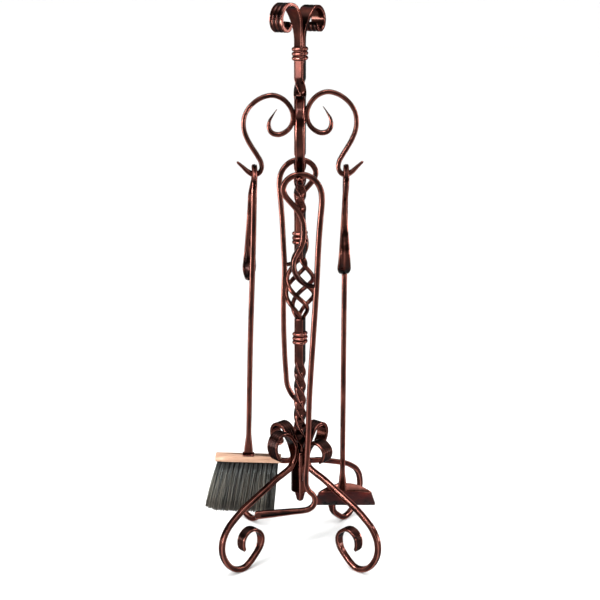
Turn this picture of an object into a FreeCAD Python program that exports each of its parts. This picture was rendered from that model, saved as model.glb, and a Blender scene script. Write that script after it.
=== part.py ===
import FreeCAD, Part
import math
import os

# Wrought fireplace tool set: a four-legged stand with a twisted column, four scroll hooks, and four
# tools that hang on them (brush, shovel, ash rake, poker).
# Millimetres, +Z up. Origin on the floor, under the middle of the column.
# +X is the shovel side, -X the brush side, -Y the front, where the ash rake hangs.

V = FreeCAD.Vector
Z_AXIS = V(0, 0, 1)
ORIGIN = V(0, 0, 0)

# Column heights
HUB_BOTTOM = 86.0
HUB_TOP = 150.0
LOWER_TWIST = (158.0, 284.0)
BASKET = (349.0, 434.0)
UPPER_TWIST = (497.0, 577.0)
TOP_TWIST = (650.0, 676.0)
COLUMN_TOP = 716.0
COLLARS = {"lower_collar": 311.0, "middle_collar": 454.0, "top_collar": 699.0}

# Column sections
POST_SIDE = 12.5
LOWER_POST_SIDE = 13.5
HUB_SIDE = 19.0
STUB_SIDES = (7.2, 11.7)
STUB_BOTTOM = 72.0
TWIST_PITCH = 22.0
TWIST_STEP = 15.0
COLLAR_WIRE = 5.8
COLLAR_TURNS = 3
COLLAR_STAND_OFF = COLLAR_WIRE * 0.62
COLLAR_BEVEL = COLLAR_WIRE * 0.25

# Basket of four round strands
STRAND_D = 6.0
STRAND_END_R = 4.6
STRAND_BULGE = 15.5
STRAND_TURN = 270.0
STRAND_PHASE = 10.0
STRAND_STATIONS = 18
STRAND_SIDES = 8

# Bent bars of the stand, as stretches of (outline segments, thickness, width): square bar in the middle,
# drawn out flat and wide at the scrolled ends
LEG_STRETCHES = [(6, 4.5, 18.0), (2, 6.0, 12.0), (15, 8.0, 8.0), (6, 5.0, 13.0)]
HORN_STRETCHES = [(3, 5.5, 12.5), (8, 4.5, 21.0)]
LEG_AZIMUTHS = {
    "leg_front_left": 223.5,
    "leg_front_right": 316.5,
    "leg_back_right": 51.0,
    "leg_back_left": 133.0,
}
LEG_SCROLL_SCALE = {
    "leg_front_left": 1.0,
    "leg_front_right": 0.72,
    "leg_back_right": 0.88,
    "leg_back_left": 0.88,
}
LEG_LOWEST = -0.5
FOOT_FLAT = 0.3
FLOOR_SPAN = 400.0
FLOOR_DEPTH = 20.0
HOOK_WIDTH = 12.4
HOOK_THICK = 6.0
HOOK_VALLEY = 549.0
HOOKS = {
    "hook_right": (0, 1.045),
    "hook_back": (90, 1.0),
    "hook_left": (180, 1.0),
    "hook_front": (270, 1.0),
}
HORNS = {"finial_horn_left": (230.0, 1.08), "finial_horn_right": (58.0, 1.0)}

# Tools
BAR = 7.5
HOOK_R = 61.5
LOOP_TOP = 558.6
BRUSH_LEAN = 1.7
RAKE_TURN = 8.0
RAKE_RAISE = 0.6
BLADE_DROP = 474.3
BLADE_START = 9.9
BLADE_END = 64.0
BLADE_TIP_HEIGHT = 12.0
BLADE_CHAMFER = 3.0
POINT_DROP = 478.0
POINT_LENGTH = 22.0
POINT_TIP_SIDE = 1.5
BRUSH_Y = -8.2
BLOCK_SIZE = (94.0, 15.0, 9.0)
BLOCK_BOTTOM = 137.5
BRISTLE_BOTTOM = 62.0
BRISTLE_ROOT_HALF = (44.0, 6.5)
BRISTLE_TIP_HALF = (50.0, 13.0)
BRISTLE_TIP_SHIFT = -11.0
FLANGE_SIZE = (16.5, 14.0, 2.0)
SCREW_D = 2.4
SCREW_HEAD_D = 3.6
SCREW_HEAD_HEIGHT = 1.2
SCREW_HEAD_SLOPE = 0.6
SCREW_LENGTH = 8.0
SCREW_OFFSET = (5.6, 4.4)
PAN_SHEET = 1.5
PAN_REAR_HALF = 38.0
PAN_MOUTH_HALF = 46.5
PAN_WALL_REAR = 12.5
PAN_WALL_SIDE = 3.0
PAN_REAR = (7.0, 83.0)
PAN_MOUTH = (43.0, 43.0)
PAN_CENTRE_X = 66.0
MOUTH_OVERRUN = 4.0
BACK_LAP = 1.0
FOOT_SIZE = (11.0, 2.5, 10.5)
FOOT_BASE = 1.0
TRIM = 80.0
RIVET_D = 4.0
RIVET_SPREAD = 3.2
RIVET_TAIL = 0.6

# Centre lines, as (radius from the column, height) or (sideways, height)
LEG_SCROLL = [(41, 146), (50, 157), (52.5, 172), (44, 184.5), (31, 184.5), (19.5, 172), (13, 155)]
LEG_BODY = [(12.5, 140), (18, 129.5), (30, 124), (45, 119.5), (62, 112.5), (78, 106), (95, 98.7),
            (109, 92.5), (123, 84), (137, 73), (145.5, 59), (147.5, 43), (141.5, 25), (128, 9.5),
            (109, 3.5), (90, 14), (78, 28), (77, 42.5), (86, 55.3), (99.5, 58.8), (110, 51.8),
            (112.5, 40.5), (108.5, 29.5)]
LEG_SCROLL_BASE = 138.0
HOOK_LINE = [(30, 636), (35.7, 628), (40.5, 619.5), (41, 611), (37, 604.5), (29, 602.3), (19, 606),
             (11.8, 614), (9.3, 624), (10.8, 634), (16, 643), (24.5, 650.3), (35.5, 653.8), (47, 652),
             (58.5, 646), (67, 638), (72.5, 628.5), (74.6, 618), (73.6, 606.5), (69.3, 595),
             (63, 584), (56.3, 573.5), (51.8, 564.5), (51.6, 556), (55.8, 550.2), (62.5, 549),
             (69, 552.4), (74.5, 557.3)]
HOOK_TIP = [(76.3, 558.9), (84.5, 566.2)]
HORN_LINE = [(2.6, 716), (2.8, 728), (5.5, 742), (11.5, 755.5), (21.5, 765), (33.5, 766),
             (43, 759.5), (46.5, 749), (43, 739.5), (35.5, 736.2), (29.5, 740), (30, 747)]
LOOP_TO_SWIRL = [(-1, 0), (-11, -2.4), (-18.8, -9), (-22, -17.5), (-19.6, -26), (-13.4, -34.5),
                 (-6, -43), (0, -51.8), (3.6, -61.3), (4.7, -72.3), (4.2, -83.4), (1.6, -93.3),
                 (-3, -101.5), (-7.4, -109.5), (-9.2, -118), (-8, -127.5), (-3.4, -137),
                 (3.6, -144.3), (11.5, -148.2), (20.5, -149.5)]
LOOP_TO_ROD = [(-1, 0), (9, -1.2), (17.8, -6.3), (24, -13.7), (27.6, -22.5), (28.7, -33),
               (28.2, -44), (27, -58), (25.6, -76), (24.2, -100), (23.2, -124), (22, -150)]
ROD_END = {
    "ash_rake": [(17.5, -225), (12.8, -308), (10.8, -375), (9.2, -405), (8, -422), (8.6, -435),
                 (13, -445), (18.8, -451.5), (21, -459.5), (18.3, -467.5), (12, -472.3), (4, -473.8),
                 (-10, -474.3)],
    "poker": [(23.6, -200), (23, -262), (20.6, -310), (18.4, -332), (12.2, -346), (4, -357),
              (0.8, -372), (0.4, -400), (0.2, -440), (0, -478)],
    "shovel_rod": [(17.5, -225), (12.8, -308), (10.2, -375), (9, -410), (8.6, -440), (8.4, -476)],
    "brush_rod": [(17.5, -225), (12.8, -308), (10.2, -360), (8.6, -390), (8.2, -411.6)],
}


def unit(v):
    return v.normalize() if v.Length > 1e-9 else v


def tangents(pts):
    """Direction at each point, from the circle through its neighbours."""
    mid = []
    for a, b, c in zip(pts, pts[1:], pts[2:]):
        back, ahead = b - a, c - b
        mid.append(unit(back / back.Length * ahead.Length + ahead / ahead.Length * back.Length))
    first, last = unit(pts[1] - pts[0]), unit(pts[-1] - pts[-2])
    start = unit(first * (2 * first.dot(mid[0])) - mid[0])
    end = unit(last * (2 * last.dot(mid[-1])) - mid[-1])
    return [start] + mid + [end]


def arc_chain(outline):
    """Joined arcs through the outline's points, as (start, direction, end) in the XZ plane."""
    pts = [V(x, 0, z) for x, z in outline]
    dirs = tangents(pts)
    chain = []
    for p, q, s, t in zip(pts, pts[1:], dirs, dirs[1:]):
        v, sum_dir = q - p, s + t
        bend = 2 * (1 - s.dot(t))
        if bend < 1e-6:
            reach = v.dot(v) / (2 * v.dot(sum_dir))
        else:
            along = v.dot(sum_dir)
            reach = (math.sqrt(along * along + bend * v.dot(v)) - along) / bend
        knee = (p + s * reach + q - t * reach) / 2
        chain.append((p, s, knee))
        chain.append((knee, unit(q - t * reach - knee), q))
    return chain


def arc_centre(p, s, q):
    """Centre of the arc from p along s to q, or None where it is straight."""
    normal = V(-s.z, 0, s.x)
    side = (q - p).dot(normal)
    if abs(side) < 1e-4 * (q - p).Length:
        return None
    return p + normal * ((q - p).Length ** 2 / (2 * side))


def turn_at(p, s, q):
    """Direction of the arc at its end q."""
    chord = unit(q - p)
    return unit(chord * (2 * chord.dot(s)) - s)


def offset_edge(p, s, q, h):
    """The arc from p to q, moved sideways by h."""
    e = turn_at(p, s, q)
    a = p + V(-s.z, 0, s.x) * h
    b = q + V(-e.z, 0, e.x) * h
    centre = arc_centre(p, s, q)
    if centre is None:
        return Part.LineSegment(a, b).toShape()
    middle = centre + unit((p - centre) + (q - centre)) * (p - centre).Length
    m = unit(middle - centre)
    if m.dot(V(-s.z, 0, s.x)) < 0:
        middle = middle - m * h
    else:
        middle = middle + m * h
    return Part.Arc(a, middle, b).toShape()


def bent_band(chain, thick, width):
    """A bar of one section bent in the XZ plane along a chain of arcs, its width across Y."""
    left = [offset_edge(p, s, q, thick / 2) for p, s, q in chain]
    right = [offset_edge(p, s, q, -thick / 2) for p, s, q in chain]
    caps = [
        Part.LineSegment(left[-1].Vertexes[-1].Point, right[-1].Vertexes[-1].Point).toShape(),
        Part.LineSegment(left[0].Vertexes[0].Point, right[0].Vertexes[0].Point).toShape(),
    ]
    wire = Part.Wire(Part.__sortEdges__(left + right + caps))
    bar = Part.Face(wire).extrude(V(0, width, 0))
    bar.translate(V(0, -width / 2, 0))
    return bar


def flat_bar(outline, thick, width):
    """A bar of one section bent along the outline."""
    return bent_band(arc_chain(outline), thick, width)


def stepped_bar(outline, stretches):
    """A bar bent along the outline, its section changing from stretch to stretch."""
    chain = arc_chain(outline)
    bar = None
    first = 0
    for segments, thick, width in stretches:
        last = first + 2 * segments
        piece = bent_band(chain[first:last], thick, width)
        bar = piece if bar is None else bar.fuse(piece)
        first = last
    return bar.removeSplitter()


def turned(shape, azimuth):
    """A copy turned about the column, from +X towards +Y."""
    copy = shape.copy()
    copy.rotate(ORIGIN, Z_AXIS, azimuth)
    return copy


def square(z, side, angle):
    """Square outline across the column at height z."""
    corners = []
    for k in range(4):
        a = math.radians(angle + 45 + 90 * k)
        corners.append(V(side / math.sqrt(2) * math.cos(a), side / math.sqrt(2) * math.sin(a), z))
    return Part.makePolygon(corners + corners[:1])


def twisted_bar(sections):
    """Square bar through (height, side, angle) sections."""
    return Part.makeLoft([square(z, side, angle) for z, side, angle in sections], True, True)


def twist_sections(z0, z1, side, angle):
    """Sections of a stretch that turns a quarter in each TWIST_PITCH of height, falling clockwise."""
    total = -90.0 * round((z1 - z0) / TWIST_PITCH)
    steps = int(abs(total) / TWIST_STEP)
    return [(z0 + (z1 - z0) * k / steps, side, angle + total * k / steps) for k in range(steps + 1)]


def make_posts():
    """Upper post from the basket to the finial, and lower post with the hub's stub."""
    upper = [(BASKET[1], POST_SIDE, 0)]
    upper += twist_sections(*UPPER_TWIST, POST_SIDE, 0)
    upper += twist_sections(*TOP_TWIST, POST_SIDE, 0)
    upper += [(COLUMN_TOP, POST_SIDE, 0)]
    lower = [(HUB_TOP, LOWER_POST_SIDE, 45)]
    lower += twist_sections(*LOWER_TWIST, LOWER_POST_SIDE, 45)
    lower += [(BASKET[0], POST_SIDE, 45)]
    return {"upper_post": twisted_bar(upper), "lower_post": twisted_bar(lower)}


def make_hub():
    """Square block that the legs are welded to, with a tapered stub under it."""
    body = twisted_bar([(HUB_BOTTOM, HUB_SIDE, 45), (HUB_TOP, HUB_SIDE, 45)])
    stub = twisted_bar([(STUB_BOTTOM, STUB_SIDES[0], 45), (HUB_BOTTOM, STUB_SIDES[1], 45)])
    return body.fuse(stub).removeSplitter()


def make_collar(z0, side, angle):
    """Three turns of round wire wrapped tight round the post."""
    wide = side + 2 * COLLAR_STAND_OFF
    narrow = wide - 2 * COLLAR_BEVEL
    rings = None
    for k in range(COLLAR_TURNS):
        low = z0 + COLLAR_WIRE * k
        high = low + COLLAR_WIRE
        ring = twisted_bar([(low, narrow, angle), (low + COLLAR_BEVEL, wide, angle),
                            (high - COLLAR_BEVEL, wide, angle), (high, narrow, angle)])
        rings = ring if rings is None else rings.fuse(ring)
    core = twisted_bar([(z0 - 1, side, angle), (z0 + COLLAR_WIRE * COLLAR_TURNS + 1, side, angle)])
    return rings.cut(core)


def strand_point(t, phase):
    """Point on a basket strand, t from 0 at the top to 1 at the bottom."""
    radius = STRAND_END_R + STRAND_BULGE * math.sin(math.pi * t)
    a = math.radians(phase + STRAND_TURN * t)
    return V(radius * math.cos(a), radius * math.sin(a), BASKET[1] + (BASKET[0] - BASKET[1]) * t)


def make_strand(phase):
    """One round strand of the basket, its ends cut flat against the posts."""
    rings = []
    for k in range(STRAND_STATIONS + 1):
        t = k / STRAND_STATIONS
        here = strand_point(t, phase)
        if k in (0, STRAND_STATIONS):
            along = V(0, 0, -1)
        else:
            along = unit(strand_point(t + 0.01, phase) - strand_point(t - 0.01, phase))
        out = unit(V(here.x, here.y, 0))
        out = unit(out - along * out.dot(along))
        side = along.cross(out)
        pts = []
        for j in range(STRAND_SIDES):
            a = 2 * math.pi * j / STRAND_SIDES
            pts.append(here + (out * math.cos(a) + side * math.sin(a)) * (STRAND_D / 2))
        rings.append(Part.makePolygon(pts + pts[:1]))
    return Part.makeLoft(rings, True, True)


def make_leg(scale):
    """Bar with a scroll at the hub and a larger scroll as its foot, worn flat on the floor."""
    scroll = [(r, LEG_SCROLL_BASE + (z - LEG_SCROLL_BASE) * scale) for r, z in LEG_SCROLL]
    leg = stepped_bar(scroll + LEG_BODY, LEG_STRETCHES)
    leg.translate(V(0, 0, -LEG_LOWEST - FOOT_FLAT))
    floor = Part.makeBox(FLOOR_SPAN, FLOOR_SPAN, FLOOR_DEPTH,
                         V(-FLOOR_SPAN / 2, -FLOOR_SPAN / 2, -FLOOR_DEPTH))
    return leg.cut(floor)


def make_hook(name):
    """Scroll hook, drawn up a little on the right; the front one's arm ends behind its tool's loop."""
    azimuth, stretch = HOOKS[name]
    line = HOOK_LINE if name == "hook_front" else HOOK_LINE[:-1] + HOOK_TIP
    outline = [(r, HOOK_VALLEY + (z - HOOK_VALLEY) * stretch) for r, z in line]
    return turned(flat_bar(outline, HOOK_THICK, HOOK_WIDTH), azimuth)


def make_horn(name):
    """Bar that leaves the top collar and curls outward, one of the pair drawn up a little taller."""
    azimuth, stretch = HORNS[name]
    outline = [(r, COLUMN_TOP + (z - COLUMN_TOP) * stretch) for r, z in HORN_LINE]
    return turned(stepped_bar(outline, HORN_STRETCHES), azimuth)


def make_handle(name):
    """Bar of one tool in its own plane: loop on the hook, swirl beside the rod, rod and its end."""
    rod = flat_bar(LOOP_TO_ROD + ROD_END[name], BAR, BAR)
    swirl = flat_bar(LOOP_TO_SWIRL, BAR, BAR)
    bar = rod.fuse(swirl)
    bar.translate(V(0, 0, LOOP_TOP))
    return bar


def hang(shape, azimuth, turn=0.0, raised=0.0):
    """Hang a tool, drawn across +X at the origin, on the hook at the azimuth."""
    copy = shape.copy()
    copy.rotate(ORIGIN, Z_AXIS, 90 + turn)
    copy.translate(V(HOOK_R, 0, raised))
    return turned(copy, azimuth)


def make_rake_blade():
    """Flattened end of the ash rake, growing taller towards its tip."""
    high = LOOP_TOP - BLADE_DROP + BAR / 2
    low = high - BLADE_TIP_HEIGHT
    cut = BLADE_CHAMFER
    profile = [V(-BLADE_START, 0, high - BAR), V(-BLADE_START, 0, high), V(cut - BLADE_END, 0, high),
               V(-BLADE_END, 0, high - cut), V(-BLADE_END, 0, low + cut), V(cut - BLADE_END, 0, low)]
    blade = Part.Face(Part.makePolygon(profile + profile[:1])).extrude(V(0, BAR, 0))
    blade.translate(V(0, -BAR / 2, 0))
    return blade


def make_poker_point():
    """Four-sided point at the poker's lower end."""
    top = LOOP_TOP - POINT_DROP
    return twisted_bar([(top - POINT_LENGTH, POINT_TIP_SIDE, 0), (top, BAR, 0)])


def make_bars():
    """The four tool bars, each hung on its hook."""
    rake = make_handle("ash_rake").fuse(make_rake_blade()).removeSplitter()
    poker = make_handle("poker").fuse(make_poker_point()).removeSplitter()
    return {
        "ash_rake": hang(rake, 270, RAKE_TURN, RAKE_RAISE),
        "poker": hang(poker, 90),
        "shovel_rod": hang(make_handle("shovel_rod"), 0),
        "brush_rod": hang(make_handle("brush_rod"), 180),
    }


def make_brush_head():
    """Flange on the rod, wooden block, two screws and the body of bristles, before the lean."""
    length, depth, height = BLOCK_SIZE
    x0, y0 = -HOOK_R, BRUSH_Y
    top = BLOCK_BOTTOM + height
    plate = V(*FLANGE_SIZE)
    flange = Part.makeBox(plate.x, plate.y, plate.z, V(x0 - plate.x / 2, y0 - plate.y / 2, top))
    block = Part.makeBox(length, depth, height, V(x0 - length / 2, y0 - depth / 2, BLOCK_BOTTOM))
    screws = []
    for side in (-1, 1):
        seat = V(x0 + side * SCREW_OFFSET[0], y0 - side * SCREW_OFFSET[1], top + plate.z)
        shank = Part.makeCylinder(SCREW_D / 2, SCREW_LENGTH, seat - V(0, 0, SCREW_LENGTH))
        head = Part.makeCone(SCREW_HEAD_D / 2, SCREW_HEAD_D / 2 - SCREW_HEAD_SLOPE, SCREW_HEAD_HEIGHT, seat)
        screws.append(shank.fuse(head))
    holes = Part.makeCompound(screws)
    ends = []
    for x, z, (half_x, half_y) in ((x0, BLOCK_BOTTOM, BRISTLE_ROOT_HALF),
                                   (x0 + BRISTLE_TIP_SHIFT, BRISTLE_BOTTOM, BRISTLE_TIP_HALF)):
        corners = [V(x + sx * half_x, y0 + sy * half_y, z) for sx, sy in ((-1, -1), (1, -1), (1, 1), (-1, 1))]
        ends.append(Part.makePolygon(corners + corners[:1]))
    bristles = Part.makeLoft(ends, True, True)
    return {
        "flange": flange.cut(holes),
        "brush_block": block.cut(holes),
        "brush_screws": holes,
        "brush_bristles": bristles,
    }


def make_pan():
    """Sheet pan with an arched back wall and low sides, open at its mouth, sloping down and back."""
    rear = V(0, PAN_REAR[0], PAN_REAR[1])
    mouth = V(0, PAN_MOUTH[0], PAN_MOUTH[1])
    along = unit(mouth - rear)
    up = V(0, -along.z, along.y)
    across = V(1, 0, 0)
    centre = V(PAN_CENTRE_X, 0, 0)

    def prism(sheet, wall):
        """Tapered prism of the pan, shrunk by the sheet's thickness and run out past the mouth."""
        ends = []
        for base, half in ((rear + along * sheet, PAN_REAR_HALF),
                           (mouth + along * sheet * MOUTH_OVERRUN, PAN_MOUTH_HALF)):
            side = across * (half - sheet)
            corners = [centre + base - side + up * sheet, centre + base + side + up * sheet,
                       centre + base + side + up * wall, centre + base - side + up * wall]
            ends.append(Part.makePolygon(corners + corners[:1]))
        return Part.makeLoft(ends, True, True)

    tray = prism(0, PAN_WALL_SIDE).cut(prism(PAN_SHEET, PAN_WALL_SIDE + BACK_LAP))
    low = centre + rear + up * (PAN_WALL_SIDE - BACK_LAP)
    reach = across * (PAN_REAR_HALF - BACK_LAP)
    arch = Part.Arc(low - reach, centre + rear + up * PAN_WALL_REAR, low + reach).toShape()
    chord = Part.LineSegment(low + reach, low - reach).toShape()
    back = Part.Face(Part.Wire([arch, chord])).extrude(along * PAN_SHEET)
    return tray.fuse(back).removeSplitter(), along, up


def make_shovel(rod):
    """Pan, and the rod with its foot flattened against the pan's back wall by two rivets."""
    pan, along, up = make_pan()
    rear = V(HOOK_R, PAN_REAR[0], PAN_REAR[1])
    wide, thick, tall = FOOT_SIZE
    foot = Part.makeBox(wide, thick, tall, V(-wide / 2, -thick, FOOT_BASE))
    beyond = Part.makeBox(TRIM, TRIM, TRIM, V(-TRIM / 2, 0, -TRIM / 2))
    tilt = math.degrees(math.atan2(up.y, up.z))
    for shape in (foot, beyond):
        shape.rotate(ORIGIN, V(1, 0, 0), -tilt)
        shape.translate(rear)
    rivets = []
    for side in (-1, 1):
        at = rear + V(side * RIVET_SPREAD, 0, 0) + up * (PAN_WALL_REAR / 2)
        rivet = Part.makeCylinder(RIVET_D / 4, thick + PAN_SHEET + 2 * RIVET_TAIL,
                                  at - along * (thick + RIVET_TAIL), along)
        head = Part.makeSphere(RIVET_D / 2, at - along * thick, -along, 0, 90, 360)
        rivets.append(rivet.fuse(head))
    holes = Part.makeCompound(rivets)
    return {
        "shovel_pan": pan.cut(holes),
        "shovel_rod": rod.cut(beyond).fuse(foot).cut(holes),
        "shovel_rivets": holes,
    }


def weld(nodes):
    """Trim what is welded together so that the pieces meet without sharing space."""
    left, right = HORNS
    legs = list(LEG_AZIMUTHS)
    seats = [(left, ["upper_post", "top_collar"]), (right, ["upper_post", "top_collar", left])]
    seats += [(leg, legs[:k]) for k, leg in enumerate(legs)]
    seats += [("lower_post", ["lower_collar"]), ("base_hub", ["lower_post"] + legs)]
    for node, others in seats:
        for other in others:
            nodes[node] = nodes[node].cut(nodes[other])


def lean(shape):
    """The brush leans outward by a small angle, about its loop's seat on the hook."""
    copy = shape.copy()
    copy.rotate(V(-HOOK_R, 0, LOOP_TOP - BAR / 2), V(0, 1, 0), BRUSH_LEAN)
    return copy


def build():
    nodes = make_posts()
    nodes["base_hub"] = make_hub()
    for name, z in COLLARS.items():
        nodes[name] = make_collar(z, POST_SIDE, 45 if name == "lower_collar" else 0)
    for k in range(4):
        nodes["basket_strand_%d" % (k + 1)] = make_strand(STRAND_PHASE + 90 * k)
    for name in HOOKS:
        nodes[name] = make_hook(name)
    for name, azimuth in LEG_AZIMUTHS.items():
        nodes[name] = turned(make_leg(LEG_SCROLL_SCALE[name]), azimuth)
    for name in HORNS:
        nodes[name] = make_horn(name)
    weld(nodes)

    bars = make_bars()
    head = make_brush_head()
    bars["brush_rod"] = bars["brush_rod"].fuse(head.pop("flange"))
    for name, shape in head.items():
        nodes[name] = lean(shape)
    bars["brush_rod"] = lean(bars["brush_rod"])
    nodes.update(bars)
    nodes.update(make_shovel(bars["shovel_rod"]))
    return nodes


os.makedirs("parts", exist_ok=True)
for node, shape in build().items():
    solids = [s for s in shape.Solids if s.Volume > 0.5]
    out = solids[0] if len(solids) == 1 else Part.makeCompound(solids)
    out.exportStep("parts/%s.step" % node)
    box = out.BoundBox
    print("%-20s solids %d volume %9.1f valid %s z %.1f..%.1f" % (
        node, len(solids), out.Volume, out.isValid(), box.ZMin, box.ZMax))
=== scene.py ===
"""Looks of a wrought fireplace tool set: a twisted column on four scrolled legs, with four hooks and the
brush, shovel, ash rake and poker that hang on them. Outlines are in millimetres, as (radius or sideways,
height) in a bar's own plane; meshes are written in metres."""
import math
import random

import bpy
from mathutils import Matrix, Vector


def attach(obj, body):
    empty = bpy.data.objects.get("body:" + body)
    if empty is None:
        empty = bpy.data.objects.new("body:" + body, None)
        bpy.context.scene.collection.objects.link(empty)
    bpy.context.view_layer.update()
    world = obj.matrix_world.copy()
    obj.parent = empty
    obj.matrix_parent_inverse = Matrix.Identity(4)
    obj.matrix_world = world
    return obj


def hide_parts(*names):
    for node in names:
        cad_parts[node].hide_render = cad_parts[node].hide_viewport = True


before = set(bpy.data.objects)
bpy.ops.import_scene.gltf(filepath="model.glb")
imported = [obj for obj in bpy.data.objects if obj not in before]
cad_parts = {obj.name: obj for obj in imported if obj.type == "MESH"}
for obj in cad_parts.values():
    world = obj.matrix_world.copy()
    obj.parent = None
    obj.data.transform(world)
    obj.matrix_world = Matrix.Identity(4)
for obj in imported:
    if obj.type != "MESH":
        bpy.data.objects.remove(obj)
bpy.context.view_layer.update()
MM = 0.001
UP = Vector((0, 0, 1))
ACROSS = Vector((0, 1, 0))
SEED = 7

# Column
POST_SIDE = 12.5
LOWER_POST_SIDE = 13.5
POST_STEP = 1.5
POST_CORNER = 0.9
PLAIN_TURN = -22.0
HUB_TURN = 45.0
HUB_TOP = 150.0
BASKET = (349.0, 434.0)
COLUMN_TOP = 716.0
TWIST_PITCH = 22.0
LOWER_TWIST = (158.0, 284.0)
UPPER_TWIST = (497.0, 577.0)
TOP_TWIST = (650.0, 676.0)
HUB_BODY = [(86, 17.0), (87, 18.4), (89, 19.0), (147, 19.0), (149.2, 18.2), (150, 16.5)]
HUB_STUB = [(72, 5.5), (72.6, 7.0), (74, 7.8), (84, 11.0), (86.5, 12.4)]
COLLAR_WIRE = 5.8
COLLAR_TURNS = 3
COLLAR_CORNER = 3.4
COLLAR_TILT = 0.5
COLLARS = {"lower_collar": 311.0, "middle_collar": 454.0, "top_collar": 699.0}

# Basket of four round strands
STRAND_END_R = 4.6
STRAND_BULGE = 15.5
STRAND_TURN = 270.0
STRAND_PHASE = 10.0
STRAND_STATIONS = 72
STRAND_R = (2.5, 0.65)

# Bars of the stand, as square bar and as drawn out flat
LEG_BAR = 8.0
LEG_FLAT = 4.4
LEG_HUB_WIDTH = 18.5
LEG_FOOT_WIDTH = 13.5
LEG_LIFT = 0.5
LEG_LOWEST = 0.05
# Where a leg turns from flat to square, after the hub's scroll and back from the foot's inner end
LEG_HUB_FADE = (-26, 6)
LEG_FOOT_FADE = (58, 96)
LEG_CORNER = (2.3, 0.8)
LEG_REED_DEPTH = (0.9, 1.0)
LEG_ROUND_END = 7.0
LEG_SCROLL_BASE = 138.0
LEGS = {"leg_front_left": (223.5, 1.0), "leg_front_right": (316.5, 0.72),
        "leg_back_right": (51.0, 0.88), "leg_back_left": (133.0, 0.88)}
HOOK_VALLEY = 549.0
HOOKS = {"hook_right": (0, 1.045), "hook_back": (90, 1.0), "hook_left": (180, 1.0), "hook_front": (270, 1.0)}
HORNS = {"finial_horn_left": (230, 1.08), "finial_horn_right": (58, 1.0)}
HOOK_WIDTH = 12.4
HOOK_THICK = 6.0
HOOK_POINT = (1.2, 1.6)
HOOK_END_SHARE = (0.55, 0.5)
HOOK_DRAWN = (34, 26)
HOOK_CORNER = 2.2
HOOK_ROUND_ENDS = (2.0, 3.0)
HORN_BAR = (5.6, 12.5)
HORN_FLAT = (4.4, 21.0)
HORN_SPREADS = (12, 52)
HORN_REEDED = (56, 72)
HORN_REED_DEPTH = 1.2
HORN_CORNER = 0.9
HORN_ROUND_END = 5.0

# Tools
BAR = 7.5
BAR_CORNER = 2.3
LEAF_THICK = 4.4
LEAF_WIDTH = 18.5
LEAF_RIDGE = 0.9
# Distance of the leaf to the side of its rod; towards the column if positive
LEAF_SHIFT = {"brush_rod": -4.0, "shovel_rod": 1.2}
# Lengths from the swirl's end over which the leaf widens, thickens, loses its ridge and returns to its rod
LEAF_WIDENS = (-5, 27)
LEAF_THICKENS = (26, 90)
LEAF_RIDGE_FADE = (40, 85)
LEAF_RETURN = (130, 168)
LEAF_LENGTH = 118
LEAF_TAPER = 90
# Past the loop the rod bows by a share of the leaf's distance to the other side
BOW_SHARE = 0.45
BOW_START = (182, 215)
BOW_END = (275, 475)
# Working ends: their length, and what they add to the bar's thickness and width
BLADE_LENGTH = 78
BLADE_GROWTH = (4.0, -1.0)
BLADE_GROOVE = 1.3
FOOT_LENGTH = 34
FOOT_GROWTH = (-3.6, 5.0)
POINT_LENGTH = 26
POINT_BLUNT = 0.12
HOOK_R = 61.5
LOOP_TOP = 558.6
BRUSH_LEAN = 1.7
RAKE_TURN = 8.0
RAKE_RAISE = 0.6
BLOCK_SIZE = (94.0, 15.0, 9.0)
BLOCK_BOTTOM = 137.5
FLANGE_SIZE = (16.5, 14.0, 2.0)
SCREW_OFFSET = (5.6, 4.4)
SCREW_HEAD = (1.8, 1.2)
BRUSH_Y = -8.2

# Bristles: tufts in columns and rows, each tuft's root and its fan at the tips
TUFT_COLUMNS, TUFT_ROWS, TUFT_FIBRES = 13, 4, 68
TUFT_SPAN = 86.0
TUFT_ROW_STEP = 3.2
TUFT_STAGGER = 0.3
TUFT_ROOT_R = (2.5, 1.9)
BRISTLE_BOTTOM = 62.0
TIP_LEFT = -60.0
TIP_SPAN = 98.5
TIP_HALF_DEPTH = 12.2
FIBRE_R = (0.45, 0.30)
# The first tufts are cut shorter by this height, over this share of the row; all tips are uneven
TRIM_HEIGHT = 6.0
TRIM_SHARE = 0.16
TIP_UNEVEN = 2.4

# Pan
PAN_SHEET = 1.5
PAN_REAR = (7.0, 83.0)
PAN_MOUTH = (43.0, 43.0)
PAN_CENTRE_X = 66.0
PAN_REAR_HALF = 38.0
PAN_MOUTH_HALF = 46.5
PAN_WALL_REAR = 12.5
PAN_WALL_SIDE = 3.0
PAN_CORNER_START = 8.0
PAN_CORNER_R = 7.0
PAN_BEND = 2.0
RIVET_HEAD = (2.0, 1.4)
RIVET_SPREAD = 3.2
# Height of the rivets over the pan's floor, and their distance behind its back
RIVET_SEAT = (6.5, 2.2)
PAN_EDGE = 0.4

# Level of the patina's colour: 1 on bare edges, which is partly rubbed copper and partly a painted highlight,
# 0 in dark grooves
EDGE_WEAR_AND_HIGHLIGHT = 1.0
FLAT_WEAR = 0.45
GROOVE_WEAR = 0.1
WIRE_WEAR = 0.72
HEAD_WEAR = 0.8
PAN_WEAR = 0.64
PAN_RIM_WEAR = 0.8
LEAF_DULL = 0.45

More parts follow.
